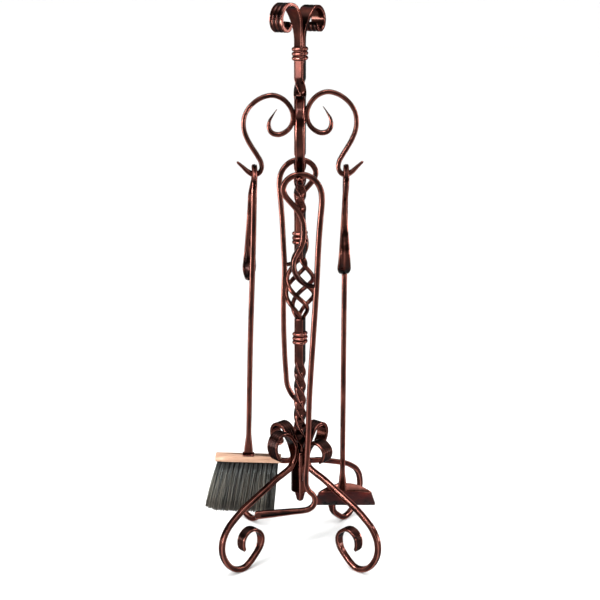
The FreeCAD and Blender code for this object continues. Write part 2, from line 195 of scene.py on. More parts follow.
# Studio, in metres and degrees
FLOOR_REACH = 60.0
CAMERA_AT = (0, -1.5476, 0.8178)
CAMERA_PITCH = 74
CAMERA_LENS = 70
CAMERA_SENSOR = 36
SKY_STRENGTH = 2.5
LIGHT_AIM = Vector((0, 0, 0.38))
LIGHT_SPREAD = 60
LIGHTS = [("key", (-1.28, -1.24, 0.85), (0.16, 1.4), 4, (1, 0.95, 0.97)),
          ("low_left", (-1.05, -0.45, 0.33), (0.22, 0.62), 2.3, (0.86, 1, 0.99)),
          ("low_right", (1.2, -0.15, 0.33), (0.12, 0.62), 1.1, (0.86, 1, 0.99)),
          ("fill", (1.75, 0.25, 0.8), (0.12, 1.3), 3, (1, 0.97, 0.98)),
          ("top", (-0.3, -0.5, 2.4), (0.4, 0.8), 2.2, (1, 0.98, 0.98))]

# Centre lines, as (radius from the column, height) or, in a tool, (sideways, height from the loop's top)
LEG_SCROLL = [(41, 146), (50, 157), (52.5, 172), (44, 184.5), (31, 184.5), (19.5, 172), (13, 155)]
LEG_BODY = [(12.5, 140), (18, 129.5), (30, 124), (45, 119.5), (62, 112.5), (78, 106), (95, 98.7),
            (109, 92.5), (123, 84), (137, 73), (145.5, 59), (147.5, 43), (141.5, 25), (128, 9.5),
            (109, 3.5), (90, 14), (78, 28), (77, 42.5), (86, 55.3), (99.5, 58.8), (110, 51.8),
            (112.5, 40.5), (108.5, 29.5)]
HOOK_LINE = [(30, 636), (35.7, 628), (40.5, 619.5), (41, 611), (37, 604.5), (29, 602.3), (19, 606),
             (11.8, 614), (9.3, 624), (10.8, 634), (16, 643), (24.5, 650.3), (35.5, 653.8), (47, 652),
             (58.5, 646), (67, 638), (72.5, 628.5), (74.6, 618), (73.6, 606.5), (69.3, 595),
             (63, 584), (56.3, 573.5), (51.8, 564.5), (51.6, 556), (55.8, 550.2), (62.5, 549),
             (69, 552.4), (74.5, 557.3)]
HOOK_TIP = [(76.3, 558.9), (84.5, 566.2)]
HORN_LINE = [(2.6, 716), (2.8, 728), (5.5, 742), (11.5, 755.5), (21.5, 765), (33.5, 766),
             (43, 759.5), (46.5, 749), (43, 739.5), (35.5, 736.2), (29.5, 740), (30, 747)]
LOOP_TO_SWIRL = [(-1, 0), (-11, -2.4), (-18.8, -9), (-22, -17.5), (-19.6, -26), (-13.4, -34.5),
                 (-6, -43), (0, -51.8), (3.6, -61.3), (4.7, -72.3), (4.2, -83.4), (1.6, -93.3),
                 (-3, -101.5), (-7.4, -109.5), (-9.2, -118), (-8, -127.5), (-3.4, -137),
                 (3.6, -144.3), (11.5, -148.2), (20.5, -149.5)]
LOOP_TO_ROD = [(9, -1.2), (17.8, -6.3), (24, -13.7), (27.6, -22.5), (28.7, -33),
               (28.2, -44), (27, -58), (25.6, -76), (24.2, -100), (23.2, -124), (22, -150)]
ROD_END = {
    "ash_rake": [(17.5, -225), (12.8, -308), (10.8, -375), (9.2, -405), (8, -422), (8.6, -435),
                 (13, -445), (18.8, -451.5), (21, -459.5), (18.3, -467.5), (12, -472.3), (4, -473.8),
                 (-10, -474.3), (-36, -475.4), (-63.8, -476.6)],
    "poker": [(23.6, -200), (23, -262), (20.6, -310), (18.4, -332), (12.2, -346), (4, -357),
              (0.8, -372), (0.4, -400), (0.2, -440), (0, -478), (0, -500)],
    "shovel_rod": [(17.5, -225), (12.8, -308), (10.2, -375), (9, -410), (8.4, -440), (7.2, -474.5)],
    "brush_rod": [(17.5, -225), (12.8, -308), (10.2, -360), (8.6, -390), (8.2, -409.5)],
}


# ---------------------------------------------------------------- curves and sections

def smooth_line(outline, step):
    """Even stations along a smooth curve through the outline's points, as (point, tangent, length)."""
    pts = [Vector((x, 0, z)) for x, z in outline]
    dirs = []
    for a, b, c in zip(pts, pts[1:], pts[2:]):
        back, ahead = b - a, c - b
        dirs.append((back / back.length * ahead.length + ahead / ahead.length * back.length).normalized())
    dirs.insert(0, (2 * (pts[1] - pts[0]).normalized() - dirs[0]).normalized())
    dirs.append((2 * (pts[-1] - pts[-2]).normalized() - dirs[-1]).normalized())
    fine = []
    for p, q, s, t in zip(pts, pts[1:], dirs, dirs[1:]):
        chord = (q - p).length
        for k in range(24):
            u = k / 24
            fine.append((2 * u**3 - 3 * u**2 + 1) * p + (u**3 - 2 * u**2 + u) * chord * s
                        + (3 * u**2 - 2 * u**3) * q + (u**3 - u**2) * chord * t)
    fine.append(pts[-1])
    lengths = [0.0]
    for a, b in zip(fine, fine[1:]):
        lengths.append(lengths[-1] + (b - a).length)
    count = max(8, round(lengths[-1] / step))
    stations, k = [], 0
    for i in range(count + 1):
        want = lengths[-1] * i / count
        while k < len(fine) - 2 and lengths[k + 1] < want:
            k += 1
        f = (want - lengths[k]) / (lengths[k + 1] - lengths[k])
        stations.append(fine[k].lerp(fine[k + 1], f))
    line = []
    for i, p in enumerate(stations):
        tangent = (stations[min(i + 1, count)] - stations[max(i - 1, 0)]).normalized()
        line.append((p, tangent, lengths[-1] * i / count))
    return line


def ramp(x, low, high):
    """0 below low, 1 above high, smooth between."""
    f = min(1.0, max(0.0, (x - low) / (high - low)))
    return f * f * (3 - 2 * f)


def face_relief(side, f, ridge, groove, reeds, reed_depth):
    """Height and colour level at share f across a face of a bar; sides 0 and 2 are its broad faces."""
    if side % 2:
        if groove and 0.2 < f < 0.8:
            return -groove, GROOVE_WEAR
        return 0.0, FLAT_WEAR
    peak = 1 - abs(2 * f - 1)
    depth = reed_depth[side // 2]
    if reeds and depth > 0:
        crest = math.sin(math.pi * ((f * reeds) % 1.0)) ** 0.6
        # Reed valleys are darker, patina in the hollows; the lighter crests are partly rubbed copper and
        # partly a painted highlight
        return -depth * (1 - crest), FLAT_WEAR + min(1.0, depth) * (0.34 * crest - 0.42)
    # The ridge's crest is lighter: partly rubbed copper, partly a painted highlight line
    if ridge and peak > 0.9:
        return ridge * peak, FLAT_WEAR + min(0.5, ridge)
    return ridge * peak, FLAT_WEAR


def bar_section(thick, width, corner, ridge=0.0, groove=0.0, reeds=0, reed_depth=(0.0, 0.0), flats=6):
    """Closed outline of a bar as (in plane, across, colour level).

    A ridge or reeds run along its broad faces, left and right, and a groove along its narrow ones.
    """
    flats = reeds * 8 if reeds else flats
    half_t, half_w = thick / 2 - corner, width / 2 - corner
    points = []
    for side in range(4):
        along, out = (half_w, thick / 2) if side % 2 == 0 else (half_t, width / 2)
        steps = flats if side % 2 == 0 else 6
        face = []
        for j in range(steps + 1):
            lift, tone_and_painted_light = face_relief(side, j / steps, ridge, groove, reeds, reed_depth)
            face.append((along * (1 - 2 * j / steps), out + lift, tone_and_painted_light))
        for j in range(1, 4):
            a = math.radians(22.5 * j)
            # Rounded corners take the lightest level: rubbed copper and a painted highlight along every edge
            face.append((-along - corner * math.sin(a), out - corner + corner * math.cos(a), EDGE_WEAR_AND_HIGHLIGHT))
        turn = side * math.pi / 2
        for a, o, tone_and_painted_light in face:
            b, n = a * math.cos(turn) + o * math.sin(turn), -a * math.sin(turn) + o * math.cos(turn)
            points.append((n, b, tone_and_painted_light))
    return points


def dome(s, length):
    """Size of a rounded end at distance s from its tip, as a share of the full size."""
    if length <= 0 or s >= length:
        return 1.0
    return max(0.06, math.sqrt(1 - (1 - s / length) ** 2))


# ---------------------------------------------------------------- meshes

def mesh_object(name, verts, faces, tone_and_painted_light=None, sharp=None):
    """An object from millimetre points, with smooth faces and its colour level kept as an attribute: patina
    and wear with painted highlights on metal, fibre tone with painted shade on bristles.
    """
    mesh = bpy.data.meshes.new(name)
    mesh.from_pydata([v * MM for v in verts], [], faces)
    mesh.validate()
    if tone_and_painted_light:
        layer = mesh.attributes.new("tone_and_painted_light", "FLOAT", "POINT")
        layer.data.foreach_set("value", tone_and_painted_light)
    mesh.shade_smooth()
    if sharp:
        mesh.set_sharp_from_angle(angle=math.radians(sharp))
    obj = bpy.data.objects.new(name, mesh)
    bpy.context.collection.objects.link(obj)
    return obj


def skin(rings, closed=False, capped=True):
    """Vertices, faces and colour levels of rings of (point, colour level) joined in turn."""
    n = len(rings[0])
    verts = [p for ring in rings for p, w in ring]
    tone_and_painted_light = [w for ring in rings for p, w in ring]
    faces = []
    last = len(rings) if closed else len(rings) - 1
    for i in range(last):
        a, b = i * n, (i + 1) % len(rings) * n
        faces += [(a + j, a + (j + 1) % n, b + (j + 1) % n, b + j) for j in range(n)]
    if capped and not closed:
        faces += [tuple(range(n - 1, -1, -1)), tuple(range(len(verts) - n, len(verts)))]
    return verts, faces, tone_and_painted_light


def bent_bar(outline, section, step=1.6):
    """Rings of a bar bent in the XZ plane, its section given by the length along it."""
    line = smooth_line(outline, step)
    total = line[-1][2]
    rings = []
    for p, t, s in line:
        normal = Vector((-t.z, 0, t.x))
        rings.append([(p + normal * n + ACROSS * b, w) for n, b, w in section(s, total)])
    return skin(rings)


def merged(parts):
    """Several (verts, faces, wear) as one."""
    verts, faces, tone_and_painted_light = [], [], []
    for v, f, w in parts:
        base = len(verts)
        verts += v
        tone_and_painted_light += w
        faces += [tuple(i + base for i in face) for face in f]
    return verts, faces, tone_and_painted_light


def turned(shape, azimuth):
    """The shape's points turned about the column."""
    spin = Matrix.Rotation(math.radians(azimuth), 3, "Z")
    verts, faces, tone_and_painted_light = shape
    return [spin @ v for v in verts], faces, tone_and_painted_light


def moved(shape, matrix):
    """The shape's points moved by a 4 by 4 matrix."""
    verts, faces, tone_and_painted_light = shape
    return [matrix @ v for v in verts], faces, tone_and_painted_light


def rounded_square(side, corner, steps=4):
    """Outline of a square with rounded corners, as (x, y, wear)."""
    return [(b, n, w) for n, b, w in bar_section(side, side, corner, flats=steps)]


def post(stations, corner=POST_CORNER):
    """A square post through (height, side, angle) stations."""
    rings = []
    for z, side, angle in stations:
        spin = Matrix.Rotation(math.radians(angle), 3, "Z")
        ring = [(spin @ Vector((x, y, 0)) + UP * z, w) for x, y, w in rounded_square(side, corner)]
        rings.append(ring[::-1])
    return skin(rings)


def plate(size, centre, corner=1.0):
    """A flat plate with rounded edges, lying across the Z axis."""
    length, depth, height = size
    rings = []
    for z, inset in ((-0.5, 1.0), (-0.42, 0.3), (-0.3, 0.0), (0.3, 0.0), (0.42, 0.3), (0.5, 1.0)):
        cut = inset * min(1.0, height * 0.3)
        ring = []
        for n, b, w in bar_section(depth - 2 * cut, length - 2 * cut, corner):
            # Eased edges take the lightest level: rubbed copper and a painted highlight
            ring.append((Vector(centre) + Vector((b, n, z * height)), EDGE_WEAR_AND_HIGHLIGHT if inset else w))
        rings.append(ring[::-1])
    return skin(rings)


def tube(points, radius, sides=16, closed=False, tone_and_painted_light=0.6):
    """A round tube along points, its radius a number or a function of the share of its length."""
    count = len(points)
    rings = []
    normal = None
    for i, p in enumerate(points):
        if closed:
            t = (points[(i + 1) % count] - points[i - 1]).normalized()
        else:
            t = (points[min(i + 1, count - 1)] - points[max(i - 1, 0)]).normalized()
        if normal is None:
            normal = t.orthogonal().normalized() if abs(t.z) > 0.5 else UP.copy()
        normal = (normal - t * normal.dot(t)).normalized()
        side = t.cross(normal)
        r = radius(i / (count - 1)) if callable(radius) else radius
        ring = []
        for j in range(sides):
            a = 2 * math.pi * j / sides
            ring.append((p + (normal * math.cos(a) + side * math.sin(a)) * r, tone_and_painted_light))
        rings.append(ring)
    return skin(rings, closed=closed)


# ---------------------------------------------------------------- materials

def material(name):
    """An empty node material with its shader, as (material, nodes, links, shader)."""
    mat = bpy.data.materials.new(name)
    mat.use_nodes = True
    nodes, links = mat.node_tree.nodes, mat.node_tree.links
    return mat, nodes, links, nodes["Principled BSDF"]


def noise(nodes, links, scale, detail=4.0, stretch=(1, 1, 1), distortion=0.0):
    """A noise texture on the object's own coordinates."""
    place = nodes.new("ShaderNodeTexCoord")
    mapping = nodes.new("ShaderNodeMapping")
    mapping.inputs["Scale"].default_value = stretch
    texture = nodes.new("ShaderNodeTexNoise")
    texture.inputs["Scale"].default_value = scale
    texture.inputs["Detail"].default_value = detail
    texture.inputs["Distortion"].default_value = distortion
    links.new(place.outputs["Object"], mapping.inputs["Vector"])
    links.new(mapping.outputs["Vector"], texture.inputs["Vector"])
    return texture.outputs["Fac"]


def colour_ramp(nodes, links, source, stops):
    """Colours by the source's value, from (value, colour) stops."""
    node = nodes.new("ShaderNodeValToRGB")
    links.new(source, node.inputs["Fac"])
    elements = node.color_ramp.elements
    while len(elements) < len(stops):
        elements.new(0.5)
    for element, (value, colour) in zip(elements, stops):
        element.position = value
        element.color = (*colour, 1)
    return node.outputs["Color"]


def mix(nodes, links, factor, first, second, blend="MIX"):
    """Colour mix of two sockets or colours."""
    node = nodes.new("ShaderNodeMix")
    node.data_type = "RGBA"
    node.blend_type = blend
    for socket, value in ((0, factor), (6, first), (7, second)):
        if isinstance(value, bpy.types.NodeSocket):
            links.new(value, node.inputs[socket])
        else:
            node.inputs[socket].default_value = (*value, 1) if isinstance(value, tuple) else value
    return node.outputs[2]


def maths(nodes, links, operation, *values, clamp=False):
    """A Math node on sockets or numbers."""
    node = nodes.new("ShaderNodeMath")
    node.operation = operation
    node.use_clamp = clamp
    for k, value in enumerate(values):
        if isinstance(value, bpy.types.NodeSocket):
            links.new(value, node.inputs[k])
        else:
            node.inputs[k].default_value = value
    return node.outputs[0]


def bump(nodes, links, shader, height, strength, distance):
    """Bump on the shader from a height."""
    node = nodes.new("ShaderNodeBump")
    node.inputs["Strength"].default_value = strength
    node.inputs["Distance"].default_value = distance
    links.new(height, node.inputs["Height"])
    links.new(node.outputs["Normal"], shader.inputs["Normal"])


def patina_material():
    """Antique copper over iron: dark brown in flats and grooves, bare copper where hands and edges wear; the
    light copper on edges, reed crests and ridges is also a painted highlight.
    """
    mat, nodes, links, shader = material("antique_copper")
    wear_and_highlight = nodes.new("ShaderNodeAttribute")
    wear_and_highlight.attribute_name = "tone_and_painted_light"
    cloud = noise(nodes, links, 38, 5)
    streak = noise(nodes, links, 160, 6, (1, 1, 0.25))
    shift = maths(nodes, links, "MULTIPLY_ADD", cloud, 0.9, -0.45)
    level = maths(nodes, links, "ADD", wear_and_highlight.outputs["Fac"], shift, clamp=True)
    # The top stops, reached on edges, reed crests and ridges, are partly rubbed copper and partly painted
    # highlight
    base = colour_ramp(nodes, links, level, [
        (0.0, (0.005, 0.002, 0.0015)),
        (0.32, (0.017, 0.0045, 0.0032)),
        (0.62, (0.074, 0.0205, 0.0138)),
        (1.0, (0.225, 0.083, 0.064)),
    ])
    fine = colour_ramp(nodes, links, streak, [(0.3, (0.62, 0.62, 0.62)), (0.7, (1.15, 1.1, 1.1))])
    links.new(mix(nodes, links, 1.0, base, fine, "MULTIPLY"), shader.inputs["Base Color"])
    links.new(maths(nodes, links, "MULTIPLY_ADD", cloud, 0.2, 0.08), shader.inputs["Roughness"])
    shader.inputs["Metallic"].default_value = 1.0
    shader.inputs["Specular Tint"].default_value = (0.3, 0.16, 0.13, 1)
    shader.inputs["Coat Weight"].default_value = 0.12
    shader.inputs["Coat Roughness"].default_value = 0.1
    hammer = noise(nodes, links, 70, 3)
    bump(nodes, links, shader, maths(nodes, links, "MULTIPLY_ADD", streak, 0.35, hammer), 0.08, 0.0008)
    return mat


def beech_material():
    """Pale beech with fine grain along the block and short dark flecks."""
    mat, nodes, links, shader = material("beech")
    grain = noise(nodes, links, 90, 6, (0.12, 1.3, 1.3), 0.6)
    fleck = noise(nodes, links, 420, 2, (0.14, 1, 1))
    base = colour_ramp(nodes, links, grain, [(0.3, (0.37, 0.205, 0.13)), (0.5, (0.46, 0.268, 0.177)),
                                             (0.72, (0.52, 0.33, 0.235))])
    flecks = colour_ramp(nodes, links, fleck, [(0.33, (0.72, 0.66, 0.6)), (0.42, (1, 1, 1))])
    links.new(mix(nodes, links, 0.8, base, flecks, "MULTIPLY"), shader.inputs["Base Color"])
    shader.inputs["Roughness"].default_value = 0.5
    bump(nodes, links, shader, fleck, 0.2, 0.0003)
    return mat


def bristle_material():
    """Dark horse hair, each fibre a little lighter or darker; the black at its root is painted shade under
    the block, and darker fibres at the right end are a painted shadow.
    """
    mat, nodes, links, shader = material("bristle")
    tone = nodes.new("ShaderNodeAttribute")
    tone.attribute_name = "tone_and_painted_light"
    base = colour_ramp(nodes, links, tone.outputs["Fac"], [(0.0, (0.006, 0.006, 0.006)),
                                                           (0.45, (0.020, 0.017, 0.0125)),
                                                           (1.0, (0.18, 0.158, 0.125))])
    links.new(base, shader.inputs["Base Color"])
    shader.inputs["Roughness"].default_value = 0.42
    shader.inputs["Specular IOR Level"].default_value = 0.4
    return mat


def floor_material():
    """Matt pale floor, very slightly uneven in tone."""
    mat, nodes, links, shader = material("studio_floor")
    tone = noise(nodes, links, 0.6, 2)
    base = colour_ramp(nodes, links, tone, [(0.3, (0.86, 0.86, 0.855)), (0.7, (0.89, 0.89, 0.885))])
    links.new(base, shader.inputs["Base Color"])
    shader.inputs["Roughness"].default_value = 0.7
    return mat


COPPER = patina_material()
BEECH = beech_material()
BRISTLE = bristle_material()


def piece(name, shape, body, nodes, mat=COPPER, sharp=None):
    """One visible piece: its mesh, its material, the body it rides on and the CAD nodes it stands for."""
    verts, faces, tone_and_painted_light = shape
    obj = mesh_object(name, verts, faces, tone_and_painted_light, sharp)
    obj.data.materials.append(mat)
    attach(obj, body)
    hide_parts(*nodes)
    return obj


# ---------------------------------------------------------------- stand

def twist_angle(z, start, twists):
    """Angle of the post at height z, turning through each twisted stretch below it."""
    angle = start
    for low, high in twists:
        total = -90.0 * round((high - low) / TWIST_PITCH)
        angle += total * min(1.0, max(0.0, (z - low) / (high - low)))
    return angle


def heights(low, high):
    """Even heights from low up to high."""
    return [low + POST_STEP * k for k in range(int((high - low) / POST_STEP) + 1)]


def stand_posts():
    """Twisted square posts above and below the basket."""
    upper = [(z, POST_SIDE, twist_angle(z, PLAIN_TURN, (UPPER_TWIST, TOP_TWIST)))
             for z in heights(BASKET[1], COLUMN_TOP)]
    piece("post_upper", post(upper), "stand", ["upper_post"])
    lower = []
    for z in heights(HUB_TOP, BASKET[0]):
        side = LOWER_POST_SIDE + (POST_SIDE - LOWER_POST_SIDE) * ramp(z, *LOWER_TWIST)
        lower.append((z, side, twist_angle(z, PLAIN_TURN, (LOWER_TWIST,))))
    piece("post_lower", post(lower), "stand", ["lower_post"])


def stand_hub():
    """Square block with eased edges, and the tapered stub under it."""
    body = post([(z, side, HUB_TURN) for z, side in HUB_BODY], 1.8)
    stub = post([(z, side, HUB_TURN) for z, side in HUB_STUB], 1.2)
    piece("hub", merged([body, stub]), "stand", ["base_hub"])


def stand_collars():
    """Each collar is three turns of round wire pressed to the square of the post."""
    spin = Matrix.Rotation(math.radians(PLAIN_TURN), 3, "Z")
    for name, bottom in COLLARS.items():
        turns = []
        for k in range(COLLAR_TURNS):
            ring = []
            for x, y, w in rounded_square(POST_SIDE + COLLAR_WIRE * 0.24, COLLAR_CORNER, 8):
                tilt = COLLAR_TILT * math.sin(math.atan2(y, x) + k)
                ring.append(spin @ Vector((x, y, 0)) + UP * (bottom + COLLAR_WIRE * (k + 0.5) + tilt))
            turns.append(tube(ring, COLLAR_WIRE / 2, 14, True, WIRE_WEAR))
        piece(name + "_wire", merged(turns), "stand", [name])


def stand_basket():
    """Four round strands that bulge and turn together, a little thicker at their middles."""
    low, high = BASKET
    for k in range(4):
        points = []
        for i in range(STRAND_STATIONS + 1):
            t = i / STRAND_STATIONS
            radius = STRAND_END_R + STRAND_BULGE * math.sin(math.pi * t)
            a = math.radians(STRAND_PHASE + 90 * k + STRAND_TURN * t)
            points.append(Vector((radius * math.cos(a), radius * math.sin(a), high + (low - high) * t)))
        wire = tube(points, lambda t: STRAND_R[0] + STRAND_R[1] * math.sin(math.pi * t) ** 0.5, 18)
        piece("basket_strand_%d_wire" % (k + 1), wire, "stand", ["basket_strand_%d" % (k + 1)])


def stand_legs():
    """Square bar, drawn out flat and reeded in the scroll at the hub and at the foot's inner end."""
    for name, (azimuth, scale) in LEGS.items():
        scroll = [(r, LEG_SCROLL_BASE + (z - LEG_SCROLL_BASE) * scale) for r, z in LEG_SCROLL]
        outline = [(r, z + LEG_LIFT) for r, z in scroll + LEG_BODY]
        hub_end = smooth_line(scroll + LEG_BODY[:1], 2.0)[-1][2]

        def section(s, total, hub_end=hub_end):
            top = 1 - ramp(s - hub_end, *LEG_HUB_FADE)
            foot = 1 - ramp(total - s, *LEG_FOOT_FADE)
            flat = max(top, foot)
            thick = LEG_BAR + (LEG_FLAT - LEG_BAR) * flat
            width = LEG_BAR + (LEG_HUB_WIDTH - LEG_BAR) * top + (LEG_FOOT_WIDTH - LEG_BAR) * foot
            tip = dome(s, LEG_ROUND_END) * dome(total - s, LEG_ROUND_END)
            corner = LEG_CORNER[0] + (LEG_CORNER[1] - LEG_CORNER[0]) * flat
            depth = (LEG_REED_DEPTH[0] * foot * tip, LEG_REED_DEPTH[1] * top * tip)
            return bar_section(thick * tip, width * tip, min(corner, thick * 0.4) * tip,
                               reeds=4, reed_depth=depth)

        verts, faces, tone_and_painted_light = turned(bent_bar(outline, section), azimuth)
        worn_flat = [Vector((v.x, v.y, max(v.z, LEG_LOWEST))) for v in verts]
        piece(name + "_bar", (worn_flat, faces, tone_and_painted_light), "stand", [name])


def stand_hooks():
    """Hooks drawn out to a point at the inner curl and to a narrow end at the outer arm."""
    def section(s, total):
        inner, outer = ramp(s, 0, HOOK_DRAWN[0]), ramp(total - s, 0, HOOK_DRAWN[1])
        end_thick, end_width = [share + (1 - share) * outer for share in HOOK_END_SHARE]
        thick = (HOOK_POINT[0] + (HOOK_THICK - HOOK_POINT[0]) * inner) * end_thick
        width = (HOOK_POINT[1] + (HOOK_WIDTH - HOOK_POINT[1]) * inner) * end_width
        tip = dome(s, HOOK_ROUND_ENDS[0]) * dome(total - s, HOOK_ROUND_ENDS[1])
        return bar_section(thick * tip, width * tip, min(HOOK_CORNER, thick * 0.42) * tip)

    for name, (azimuth, stretch) in HOOKS.items():
        line = HOOK_LINE if name == "hook_front" else HOOK_LINE[:-1] + HOOK_TIP
        outline = [(r, HOOK_VALLEY + (z - HOOK_VALLEY) * stretch) for r, z in line]
        piece(name + "_bar", turned(bent_bar(outline, section, 1.4), azimuth), "stand", [name])


def stand_horns():
    """Bars that leave the top collar side by side, drawn out wide and reeded where they curl."""
    def section(s, total):
        flat = ramp(s, *HORN_SPREADS)
        reeded = ramp(s, *HORN_REEDED)
        tip = dome(total - s, HORN_ROUND_END)
        thick = HORN_BAR[0] + (HORN_FLAT[0] - HORN_BAR[0]) * flat
        width = HORN_BAR[1] + (HORN_FLAT[1] - HORN_BAR[1]) * flat
        return bar_section(thick * tip, width * tip, HORN_CORNER * tip,
                           reeds=3, reed_depth=(HORN_REED_DEPTH * reeded * tip, 0.0))

    for name, (azimuth, stretch) in HORNS.items():
        outline = [(r, COLUMN_TOP + (z - COLUMN_TOP) * stretch) for r, z in HORN_LINE]
        piece(name + "_bar", turned(bent_bar(outline, section, 1.2), azimuth), "stand", [name])


# ---------------------------------------------------------------- tools

def working_end(end, left):
    """Thickness, width, corner and groove of a tool's bar at a distance from its working end."""
    if end == "blade" and left < BLADE_LENGTH:
        blade = 1 - ramp(left, 5, BLADE_LENGTH)
        groove = BLADE_GROOVE * ramp(left, 8, 10) * (1 - ramp(left, 62, 70))
        return BAR + BLADE_GROWTH[0] * blade, BAR + BLADE_GROWTH[1] * blade, BAR_CORNER, groove
    if end == "foot" and left < FOOT_LENGTH:
        flare = 1 - ramp(left, 2, FOOT_LENGTH)
        return BAR + FOOT_GROWTH[0] * flare, BAR + FOOT_GROWTH[1] * flare, BAR_CORNER, 0.0
    if end == "point" and left < POINT_LENGTH:
        share = max(POINT_BLUNT, left / POINT_LENGTH)
        return BAR * share, BAR * share, BAR_CORNER * share, 0.0
    return BAR, BAR, BAR_CORNER, 0.0


def handle_section(end, leaf_shift):
    """Section of a tool's bar, from the leaf at its swirl to its working end: blade, foot or point.

    Distances are measured along the bar, and the leaf is darker than the rest.
    """
    def at(s, total):
        left = total - s
        thick, width, corner, groove = working_end(end, left)
        leaf = ramp(s, *LEAF_WIDENS) * min(1.0, max(0.0, (LEAF_LENGTH - s) / LEAF_TAPER)) ** 1.3
        thick += (LEAF_THICK - BAR) * (1 - ramp(s, *LEAF_THICKENS))
        width += (LEAF_WIDTH - BAR) * leaf
        ridge = LEAF_RIDGE * (1 - ramp(s, *LEAF_RIDGE_FADE))
        shift = leaf_shift * (1 - ramp(s, *LEAF_RETURN))
        shift -= BOW_SHARE * leaf_shift * ramp(s, *BOW_START) * (1 - ramp(s, *BOW_END))
        tip = dome(s, 4.5) * (dome(left, 2.0) if end == "blade" else 1.0)
        thick, width = thick * tip, width * tip
        outline = bar_section(thick, width, min(corner, thick * 0.4, width * 0.4), ridge * tip, groove)
        dull = LEAF_DULL + (1 - LEAF_DULL) * ramp(s, 12, 60)
        return [(n, b + shift, w * dull) for n, b, w in outline]
    return at


def tool_bar(name, end):
    """A tool's bar in its own plane: swirl, loop over the hook, rod and working end."""
    outline = LOOP_TO_SWIRL[::-1] + LOOP_TO_ROD + ROD_END[name]
    raised = [(u, z + LOOP_TOP) for u, z in outline]
    return bent_bar(raised, handle_section(end, LEAF_SHIFT.get(name, 0.0)), 1.3)


def hang(shape, azimuth, turn=0.0, raised=0.0):
    """Hang a tool, drawn across +X at the origin, on the hook at the azimuth."""
    place = (Matrix.Rotation(math.radians(azimuth), 4, "Z")
             @ Matrix.Translation((HOOK_R, 0, raised))
             @ Matrix.Rotation(math.radians(90 + turn), 4, "Z"))
    return moved(shape, place)


def lean(shape):
    """The brush leans outward by a small angle, about its loop's seat on the hook."""
    seat = Matrix.Translation((-HOOK_R, 0, LOOP_TOP - BAR / 2))
    return moved(shape, seat @ Matrix.Rotation(math.radians(BRUSH_LEAN), 4, "Y") @ seat.inverted())


def dome_head(centre, radius, height, axis=UP, sides=18):
    """A low domed screw or rivet head."""
    rings = []
    spin = UP.rotation_difference(axis).to_matrix()
    for k in range(6):
        a = math.pi / 2 * k / 5
        ring = []
        for j in range(sides):
            b = 2 * math.pi * j / sides
            local = Vector((math.cos(b) * math.cos(a), math.sin(b) * math.cos(a), 0)) * radius
            local += UP * height * math.sin(a)
            ring.append((Vector(centre) + spin @ local, HEAD_WEAR))
        rings.append(ring)
    return skin(rings)


def make_brush():
    """Rod with its flange, block, screw heads and bristles, all leaning together."""
    rod = hang(tool_bar("brush_rod", "foot"), 180)
    top = BLOCK_BOTTOM + BLOCK_SIZE[2]
    flange = plate(FLANGE_SIZE, (-HOOK_R, BRUSH_Y, top + FLANGE_SIZE[2] / 2), 2.0)
    piece("brush_handle", lean(merged([rod, flange])), "brush", ["brush_rod"])
    block = plate(BLOCK_SIZE, (-HOOK_R, BRUSH_Y, BLOCK_BOTTOM + BLOCK_SIZE[2] / 2), 1.2)
    piece("brush_back", lean(block), "brush", ["brush_block"], BEECH)
    heads = []
    for side in (-1, 1):
        seat = (-HOOK_R + side * SCREW_OFFSET[0], BRUSH_Y - side * SCREW_OFFSET[1], top + FLANGE_SIZE[2])
        heads.append(dome_head(seat, *SCREW_HEAD))
    piece("brush_screw_heads", lean(merged(heads)), "brush", ["brush_screws"])
    rng = random.Random(SEED)
    fibres = []
    for column in range(TUFT_COLUMNS):
        for row in range(TUFT_ROWS):
            fibres += tuft(rng, column, row)
    piece("brush_tufts", lean(merged(fibres)), "brush", ["brush_bristles"], BRISTLE)


